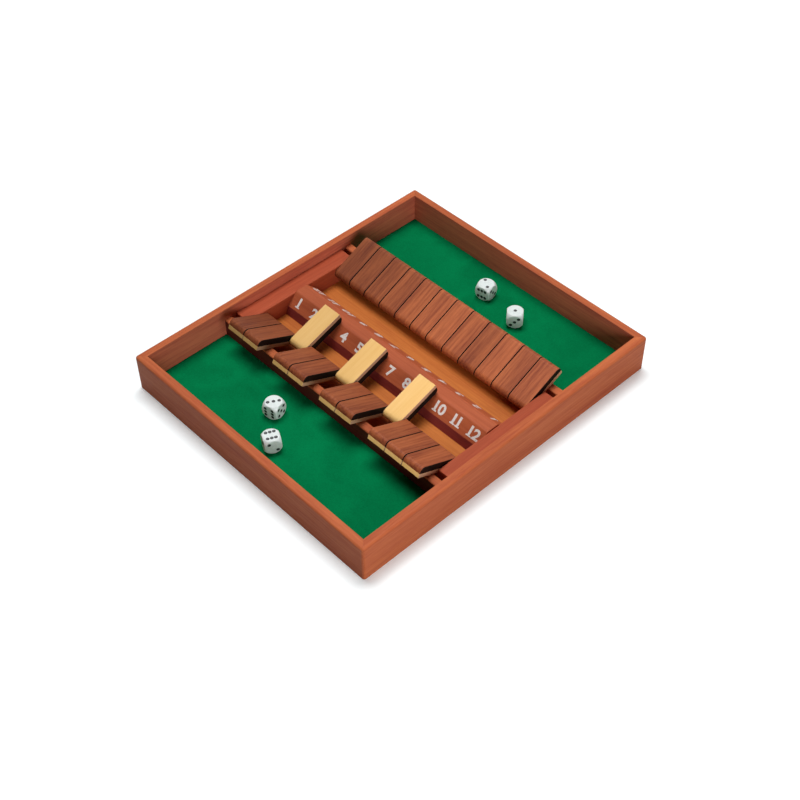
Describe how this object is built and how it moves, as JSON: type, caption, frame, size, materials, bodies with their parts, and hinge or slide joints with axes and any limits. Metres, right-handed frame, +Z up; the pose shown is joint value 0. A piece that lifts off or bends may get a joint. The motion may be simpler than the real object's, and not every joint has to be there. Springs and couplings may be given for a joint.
{
  "type": "shut the box game",
  "caption": "Open wooden dice game box with a felt tray on each side and two rows of hinged number tiles that flip over rods onto a shared number block.",
  "frame": {"origin": "centre of the box in plan, on the plane that the box stands on", "axes": "+X along the rows of tiles, +Y across the rows towards the far tray, +Z up"},
  "size_m": [0.29, 0.334, 0.041],
  "materials": {
    "box_wood": "satin reddish-brown stain",
    "floor_wood": "satin orange-brown stain",
    "block_wood": "satin wine-red stain",
    "tile_wood": "satin dark ply glued to a pale maple ply",
    "felt": "green wool felt",
    "steel": "drawn steel rod",
    "die_plastic": "white with black painted pips"
  },
  "bodies": {
    "root": {"wall_near": "box_wood", "wall_far": "box_wood", "wall_left": "box_wood", "wall_right": "box_wood", "base_panel": "floor_wood", "felt_near": "felt", "felt_far": "felt", "rail_near": "box_wood", "rail_far": "box_wood", "cheek_left": "box_wood", "cheek_right": "box_wood", "number_block": "block_wood", "rod_near": "steel", "rod_far": "steel"},
    "tile_near_1": {"tile_near_1": "tile_wood"},
    "tile_near_2": {"tile_near_2": "tile_wood"},
    "tile_near_3": {"tile_near_3": "tile_wood"},
    "tile_near_4": {"tile_near_4": "tile_wood"},
    "tile_near_5": {"tile_near_5": "tile_wood"},
    "tile_near_6": {"tile_near_6": "tile_wood"},
    "tile_near_7": {"tile_near_7": "tile_wood"},
    "tile_near_8": {"tile_near_8": "tile_wood"},
    "tile_near_9": {"tile_near_9": "tile_wood"},
    "tile_near_10": {"tile_near_10": "tile_wood"},
    "tile_near_11": {"tile_near_11": "tile_wood"},
    "tile_near_12": {"tile_near_12": "tile_wood"},
    "tile_far_1": {"tile_far_1": "tile_wood"},
    "tile_far_2": {"tile_far_2": "tile_wood"},
    "tile_far_3": {"tile_far_3": "tile_wood"},
    "tile_far_4": {"tile_far_4": "tile_wood"},
    "tile_far_5": {"tile_far_5": "tile_wood"},
    "tile_far_6": {"tile_far_6": "tile_wood"},
    "tile_far_7": {"tile_far_7": "tile_wood"},
    "tile_far_8": {"tile_far_8": "tile_wood"},
    "tile_far_9": {"tile_far_9": "tile_wood"},
    "tile_far_10": {"tile_far_10": "tile_wood"},
    "tile_far_11": {"tile_far_11": "tile_wood"},
    "tile_far_12": {"tile_far_12": "tile_wood"},
    "die_near_back": {"die_near_back": "die_plastic"},
    "die_near_front": {"die_near_front": "die_plastic"},
    "die_far_left": {"die_far_left": "die_plastic"},
    "die_far_right": {"die_far_right": "die_plastic"}
  },
  "joints": [
    {"name": "tile_near_1_flip", "type": "hinge", "parent": "root", "child": "tile_near_1", "pos_m": [-0.11033, -0.0447, 0.0198], "axis": [-1, 0, 0], "range_deg": [0, 135.64]},
    {"name": "tile_near_2_flip", "type": "hinge", "parent": "root", "child": "tile_near_2", "pos_m": [-0.09027, -0.0447, 0.0198], "axis": [-1, 0, 0], "range_deg": [0, 135.64]},
    {"name": "tile_near_3_flip", "type": "hinge", "parent": "root", "child": "tile_near_3", "pos_m": [-0.07021, -0.0447, 0.0198], "axis": [1, 0, 0], "range_deg": [0, 135.64]},
    {"name": "tile_near_4_flip", "type": "hinge", "parent": "root", "child": "tile_near_4", "pos_m": [-0.05015, -0.0447, 0.0198], "axis": [-1, 0, 0], "range_deg": [0, 135.64]},
    {"name": "tile_near_5_flip", "type": "hinge", "parent": "root", "child": "tile_near_5", "pos_m": [-0.03009, -0.0447, 0.0198], "axis": [-1, 0, 0], "range_deg": [0, 135.64]},
    {"name": "tile_near_6_flip", "type": "hinge", "parent": "root", "child": "tile_near_6", "pos_m": [-0.01003, -0.0447, 0.0198], "axis": [1, 0, 0], "range_deg": [0, 135.64]},
    {"name": "tile_near_7_flip", "type": "hinge", "parent": "root", "child": "tile_near_7", "pos_m": [0.01003, -0.0447, 0.0198], "axis": [-1, 0, 0], "range_deg": [0, 135.64]},
    {"name": "tile_near_8_flip", "type": "hinge", "parent": "root", "child": "tile_near_8", "pos_m": [0.03009, -0.0447, 0.0198], "axis": [-1, 0, 0], "range_deg": [0, 135.64]},
    {"name": "tile_near_9_flip", "type": "hinge", "parent": "root", "child": "tile_near_9", "pos_m": [0.05015, -0.0447, 0.0198], "axis": [1, 0, 0], "range_deg": [0, 135.64]},
    {"name": "tile_near_10_flip", "type": "hinge", "parent": "root", "child": "tile_near_10", "pos_m": [0.07021, -0.0447, 0.0198], "axis": [-1, 0, 0], "range_deg": [0, 135.64]},
    {"name": "tile_near_11_flip", "type": "hinge", "parent": "root", "child": "tile_near_11", "pos_m": [0.09027, -0.0447, 0.0198], "axis": [-1, 0, 0], "range_deg": [0, 135.64]},
    {"name": "tile_near_12_flip", "type": "hinge", "parent": "root", "child": "tile_near_12", "pos_m": [0.11033, -0.0447, 0.0198], "axis": [-1, 0, 0], "range_deg": [0, 135.64]},
    {"name": "tile_far_1_flip", "type": "hinge", "parent": "root", "child": "tile_far_1", "pos_m": [0.11033, 0.0447, 0.0198], "axis": [1, 0, 0], "range_deg": [0, 135.64]},
    {"name": "tile_far_2_flip", "type": "hinge", "parent": "root", "child": "tile_far_2", "pos_m": [0.09027, 0.0447, 0.0198], "axis": [1, 0, 0], "range_deg": [0, 135.64]},
    {"name": "tile_far_3_flip", "type": "hinge", "parent": "root", "child": "tile_far_3", "pos_m": [0.07021, 0.0447, 0.0198], "axis": [1, 0, 0], "range_deg": [0, 135.64]},
    {"name": "tile_far_4_flip", "type": "hinge", "parent": "root", "child": "tile_far_4", "pos_m": [0.05015, 0.0447, 0.0198], "axis": [1, 0, 0], "range_deg": [0, 135.64]},
    {"name": "tile_far_5_flip", "type": "hinge", "parent": "root", "child": "tile_far_5", "pos_m": [0.03009, 0.0447, 0.0198], "axis": [1, 0, 0], "range_deg": [0, 135.64]},
    {"name": "tile_far_6_flip", "type": "hinge", "parent": "root", "child": "tile_far_6", "pos_m": [0.01003, 0.0447, 0.0198], "axis": [1, 0, 0], "range_deg": [0, 135.64]},
    {"name": "tile_far_7_flip", "type": "hinge", "parent": "root", "child": "tile_far_7", "pos_m": [-0.01003, 0.0447, 0.0198], "axis": [1, 0, 0], "range_deg": [0, 135.64]},
    {"name": "tile_far_8_flip", "type": "hinge", "parent": "root", "child": "tile_far_8", "pos_m": [-0.03009, 0.0447, 0.0198], "axis": [1, 0, 0], "range_deg": [0, 135.64]},
    {"name": "tile_far_9_flip", "type": "hinge", "parent": "root", "child": "tile_far_9", "pos_m": [-0.05015, 0.0447, 0.0198], "axis": [1, 0, 0], "range_deg": [0, 135.64]},
    {"name": "tile_far_10_flip", "type": "hinge", "parent": "root", "child": "tile_far_10", "pos_m": [-0.07021, 0.0447, 0.0198], "axis": [1, 0, 0], "range_deg": [0, 135.64]},
    {"name": "tile_far_11_flip", "type": "hinge", "parent": "root", "child": "tile_far_11", "pos_m": [-0.09027, 0.0447, 0.0198], "axis": [1, 0, 0], "range_deg": [0, 135.64]},
    {"name": "tile_far_12_flip", "type": "hinge", "parent": "root", "child": "tile_far_12", "pos_m": [-0.11033, 0.0447, 0.0198], "axis": [1, 0, 0], "range_deg": [0, 135.64]},
    {"name": "die_near_back_lift", "type": "slide", "parent": "root", "child": "die_near_back", "axis": [0, 0, 1], "range_m": [0, 0.06]},
    {"name": "die_near_front_lift", "type": "slide", "parent": "root", "child": "die_near_front", "axis": [0, 0, 1], "range_m": [0, 0.06]},
    {"name": "die_far_left_lift", "type": "slide", "parent": "root", "child": "die_far_left", "axis": [0, 0, 1], "range_m": [0, 0.06]},
    {"name": "die_far_right_lift", "type": "slide", "parent": "root", "child": "die_far_right", "axis": [0, 0, 1], "range_m": [0, 0.06]}
  ]
}
